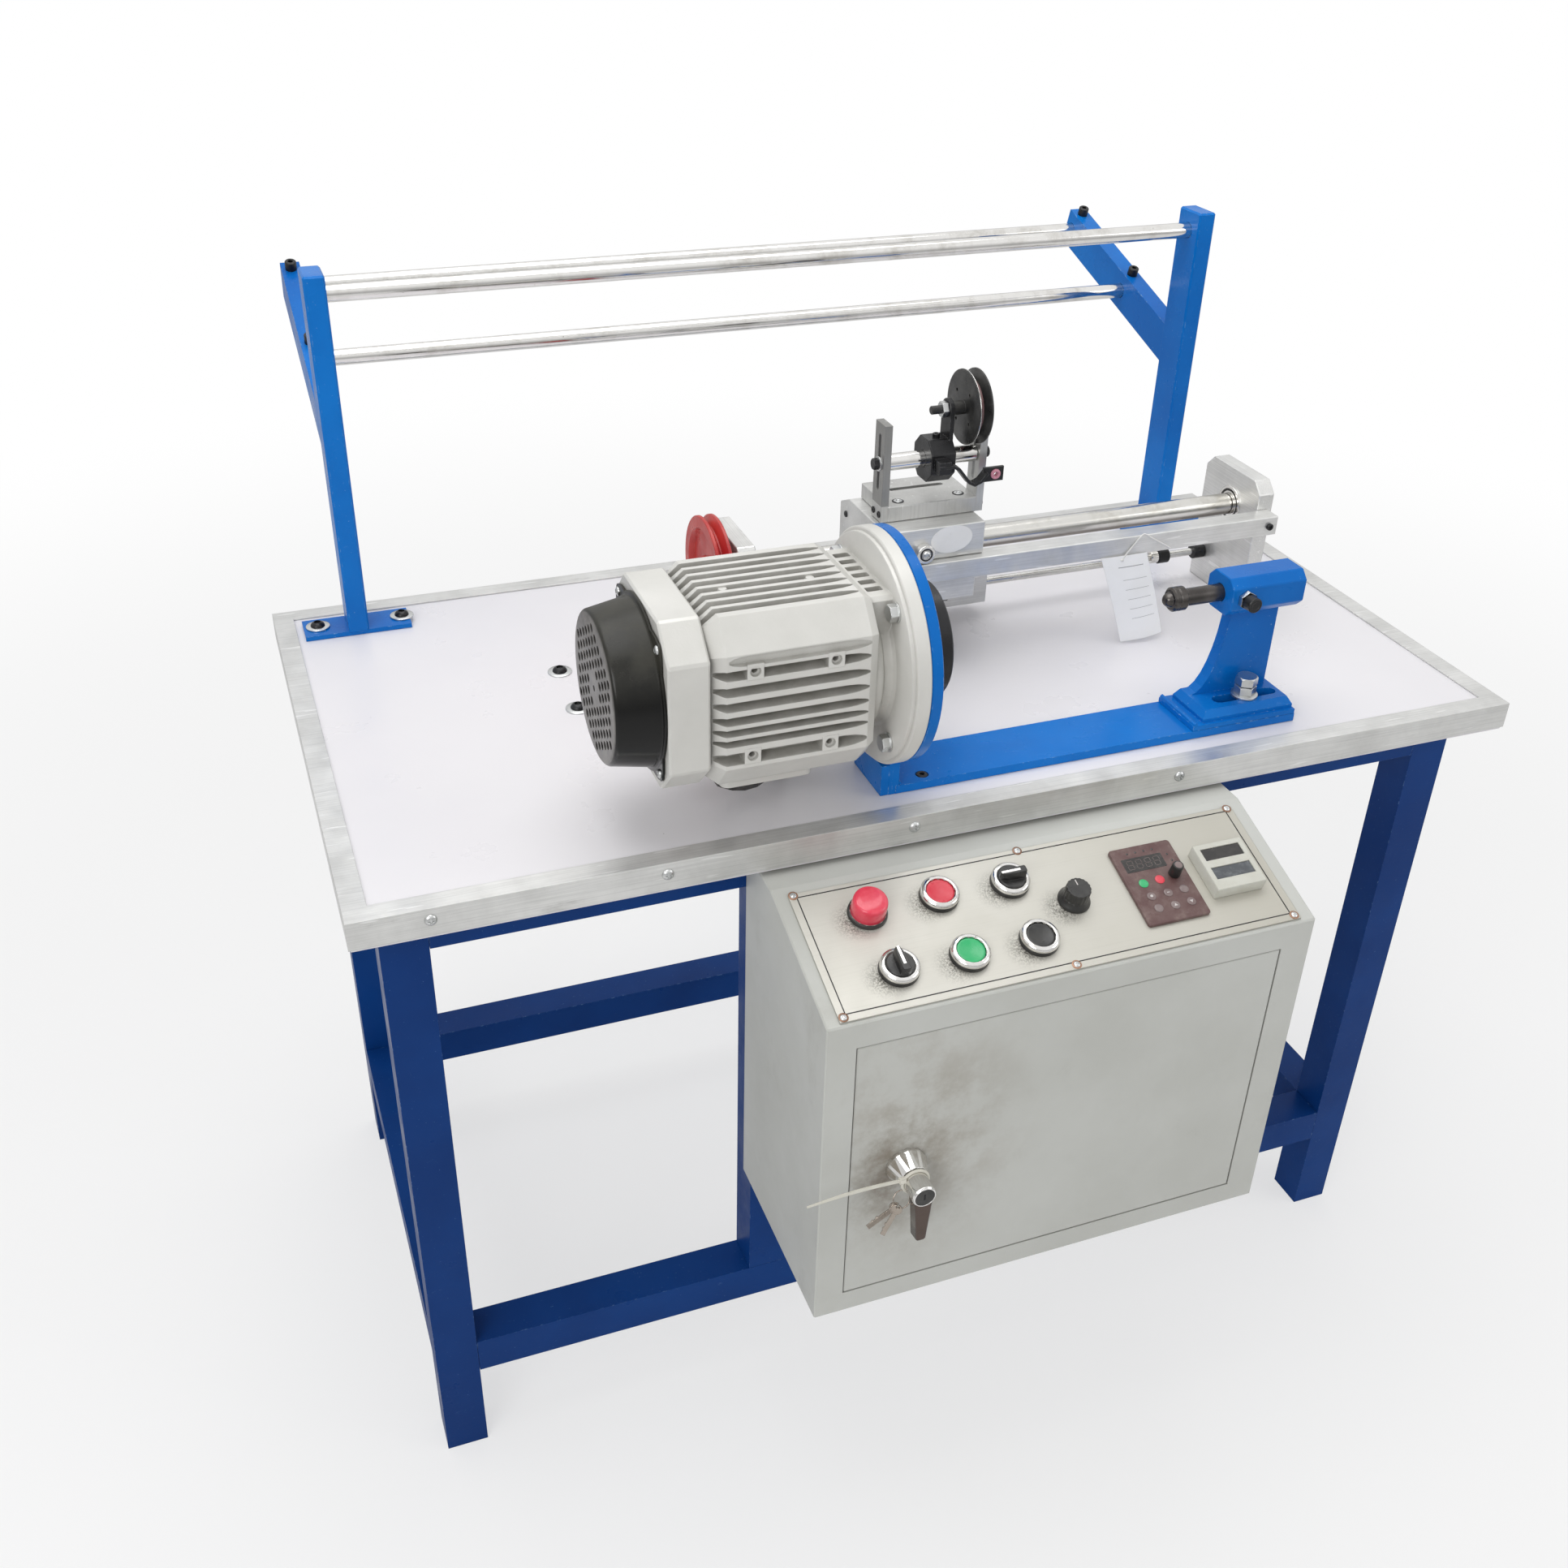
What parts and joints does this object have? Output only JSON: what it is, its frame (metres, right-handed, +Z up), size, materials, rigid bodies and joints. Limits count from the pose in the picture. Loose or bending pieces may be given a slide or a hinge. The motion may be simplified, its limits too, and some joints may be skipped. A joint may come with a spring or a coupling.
{
  "type": "electric winding machine",
  "caption": "Bench-mounted electric winding machine: flanged motor with face plate and tailstock, traversing wire guide, wire stand and sloping control cabinet.",
  "frame": {"origin": "on the floor under the middle of the whole machine's bounding box", "axes": "+X along the bench from the motor's fan towards the tailstock, +Y from the operator's side to the back, +Z up"},
  "size_m": [1.1, 0.9632, 1.047],
  "materials": {
    "blue_frame_paint": "satin blue enamel on welded steel tube",
    "blue_machine_paint": "glossy blue enamel with worn edges",
    "laminate": "smooth white laminate",
    "aluminium": "bare machined aluminium with light scratches",
    "motor_casting": "silver-painted die casting, satin",
    "black_cover": "glossy black pressed cover",
    "black_steel": "black-oxide steel, satin",
    "bright_steel": "ground steel",
    "chrome": "bright chrome plate",
    "cabinet_paint": "grey powder coat, fine texture",
    "panel_plate": "brushed aluminium plate, unprinted",
    "red_paint": "red enamel",
    "red_plastic": "glossy red plastic",
    "green_plastic": "glossy green plastic",
    "black_plastic": "satin black plastic",
    "maroon_plastic": "matt dark red plastic",
    "beige_plastic": "matt light grey plastic",
    "zinc": "zinc-plated steel",
    "cable_sheath": "black rubber sheath"
  },
  "bodies": {
    "bench": {"leg_front_left": "blue_frame_paint", "leg_front_right": "blue_frame_paint", "leg_rear_left": "blue_frame_paint", "leg_rear_right": "blue_frame_paint", "rail_front": "blue_frame_paint", "rail_rear": "blue_frame_paint", "rail_left": "blue_frame_paint", "rail_right": "blue_frame_paint", "stretcher_front": "blue_frame_paint", "stretcher_rear": "blue_frame_paint", "stretcher_left": "blue_frame_paint", "stretcher_right": "blue_frame_paint", "cabinet_upright": "blue_frame_paint", "tabletop": "laminate", "table_trim": "aluminium", "stand_left": "blue_machine_paint", "stand_right": "blue_machine_paint", "rod_front": "chrome", "rod_middle": "chrome", "rod_rear": "chrome", "motor_housing": "motor_casting", "fan_shroud": "motor_casting", "fan_cover": "black_cover", "headstock": "blue_machine_paint", "traverse_plate_left": "aluminium", "traverse_plate_right": "aluminium", "traverse_beam": "aluminium", "trip_rod": "zinc", "cabinet_shell": "cabinet_paint", "control_panel": "panel_plate", "pilot_lamp": "red_plastic", "inverter_keypad": "maroon_plastic", "counter": "beige_plastic", "electrics_plate": "zinc", "motor_cable": "cable_sheath"},
    "spindle": {"motor_rotor": "bright_steel", "face_plate": "black_steel"},
    "tailstock": {"tailstock_body": "blue_machine_paint"},
    "quill": {"tailstock_quill": "bright_steel"},
    "centre": {"live_centre": "black_steel"},
    "lock_screw": {"tailstock_lock_screw": "black_steel"},
    "clamp_bolt": {"tailstock_clamp_bolt": "zinc"},
    "traverse_drive": {"traverse_shaft": "bright_steel", "traverse_pulley": "red_paint"},
    "carriage": {"carriage_body": "aluminium", "carriage_top": "aluminium", "cross_rod": "chrome"},
    "roller": {"carriage_roller": "bright_steel"},
    "pitch": {"pitch_knob": "black_plastic"},
    "guide": {"guide_arm": "black_steel"},
    "guide_wheel": {"guide_pulley": "black_plastic"},
    "door": {"cabinet_door": "cabinet_paint"},
    "door_lock": {"lock_handle": "chrome"},
    "stop": {"stop_button": "red_plastic"},
    "start": {"start_button": "green_plastic"},
    "reset": {"reset_button": "black_plastic"},
    "power": {"power_switch": "black_plastic"},
    "inching": {"inching_switch": "black_plastic"},
    "speed": {"speed_knob": "black_plastic"},
    "keypad_dial": {"keypad_knob": "black_plastic"}
  },
  "joints": [
    {"name": "spindle_spin", "type": "hinge", "parent": "bench", "child": "spindle", "pos_m": [-0.07, -0.22032, 0.822], "axis": [1, 0, 0], "continuous": true},
    {"name": "tailstock_slide", "type": "slide", "parent": "bench", "child": "tailstock", "axis": [1, 0, 0], "range_m": [-0.025, 0.025]},
    {"name": "quill_slide", "type": "slide", "parent": "tailstock", "child": "quill", "axis": [1, 0, 0], "range_m": [-0.03, 0.03]},
    {"name": "centre_spin", "type": "hinge", "parent": "quill", "child": "centre", "pos_m": [0.207, -0.22032, 0.822], "axis": [1, 0, 0], "continuous": true},
    {"name": "lock_screw_turn", "type": "hinge", "parent": "tailstock", "child": "lock_screw", "pos_m": [0.259, -0.24032, 0.822], "axis": [0, 1, 0], "range_deg": [0, 180]},
    {"name": "clamp_bolt_turn", "type": "hinge", "parent": "bench", "child": "clamp_bolt", "pos_m": [0.288, -0.22632, 0.71], "axis": [0, 0, 1], "range_deg": [0, 360]},
    {"name": "traverse_spin", "type": "hinge", "parent": "bench", "child": "traverse_drive", "pos_m": [0.15, 0.02268, 0.791], "axis": [1, 0, 0], "continuous": true},
    {"name": "carriage_slide", "type": "slide", "parent": "bench", "child": "carriage", "axis": [1, 0, 0], "range_m": [-0.084, 0.204]},
    {"name": "roller_spin", "type": "hinge", "parent": "carriage", "child": "roller", "pos_m": [0.038, -0.03562, 0.8106], "axis": [0, 1, 0], "continuous": true},
    {"name": "pitch_turn", "type": "hinge", "parent": "carriage", "child": "pitch", "pos_m": [0.095, 0.03968, 0.734], "axis": [0, 1, 0], "range_deg": [0, 270]},
    {"name": "guide_tilt", "type": "hinge", "parent": "carriage", "child": "guide", "pos_m": [0.06, 0.00068, 0.89], "axis": [1, 0, 0], "range_deg": [-20, 20]},
    {"name": "guide_wheel_spin", "type": "hinge", "parent": "guide", "child": "guide_wheel", "pos_m": [0.093, -0.00032, 0.9366], "axis": [1, 0, 0], "continuous": true},
    {"name": "door_hinge", "type": "hinge", "parent": "bench", "child": "door", "pos_m": [0.2055, -0.44132, 0.45], "axis": [0, 0, 1], "range_deg": [0, 110]},
    {"name": "lock_turn", "type": "hinge", "parent": "door", "child": "door_lock", "pos_m": [-0.137, -0.44132, 0.449], "axis": [0, -1, 0], "range_deg": [0, 90]},
    {"name": "stop_press", "type": "slide", "parent": "bench", "child": "stop", "axis": [0, 0.3184, -0.948], "range_m": [0, 0.003], "stiffness_N_per_m": 400, "springref_m": -0.002},
    {"name": "start_press", "type": "slide", "parent": "bench", "child": "start", "axis": [0, 0.3184, -0.948], "range_m": [0, 0.003], "stiffness_N_per_m": 400, "springref_m": -0.002},
    {"name": "reset_press", "type": "slide", "parent": "bench", "child": "reset", "axis": [0, 0.3184, -0.948], "range_m": [0, 0.003], "stiffness_N_per_m": 400, "springref_m": -0.002},
    {"name": "power_turn", "type": "hinge", "parent": "bench", "child": "power", "pos_m": [-0.139, -0.40575, 0.63006], "axis": [0, 0.3184, -0.948], "range_deg": [0, 90]},
    {"name": "inching_turn", "type": "hinge", "parent": "bench", "child": "inching", "pos_m": [-0.014, -0.34982, 0.64884], "axis": [0, 0.3184, -0.948], "range_deg": [0, 90]},
    {"name": "speed_turn", "type": "hinge", "parent": "bench", "child": "speed", "pos_m": [0.033, -0.37826, 0.63929], "axis": [0, -0.3184, 0.948], "range_deg": [-150, 150]},
    {"name": "keypad_dial_turn", "type": "hinge", "parent": "bench", "child": "keypad_dial", "pos_m": [0.131, -0.37542, 0.64024], "axis": [0, -0.3184, 0.948], "range_deg": [-150, 150]}
  ],
  "couplings": [
    {"joint": "roller_spin", "follows": "carriage_slide", "rad_per_m": 107.53}
  ]
}
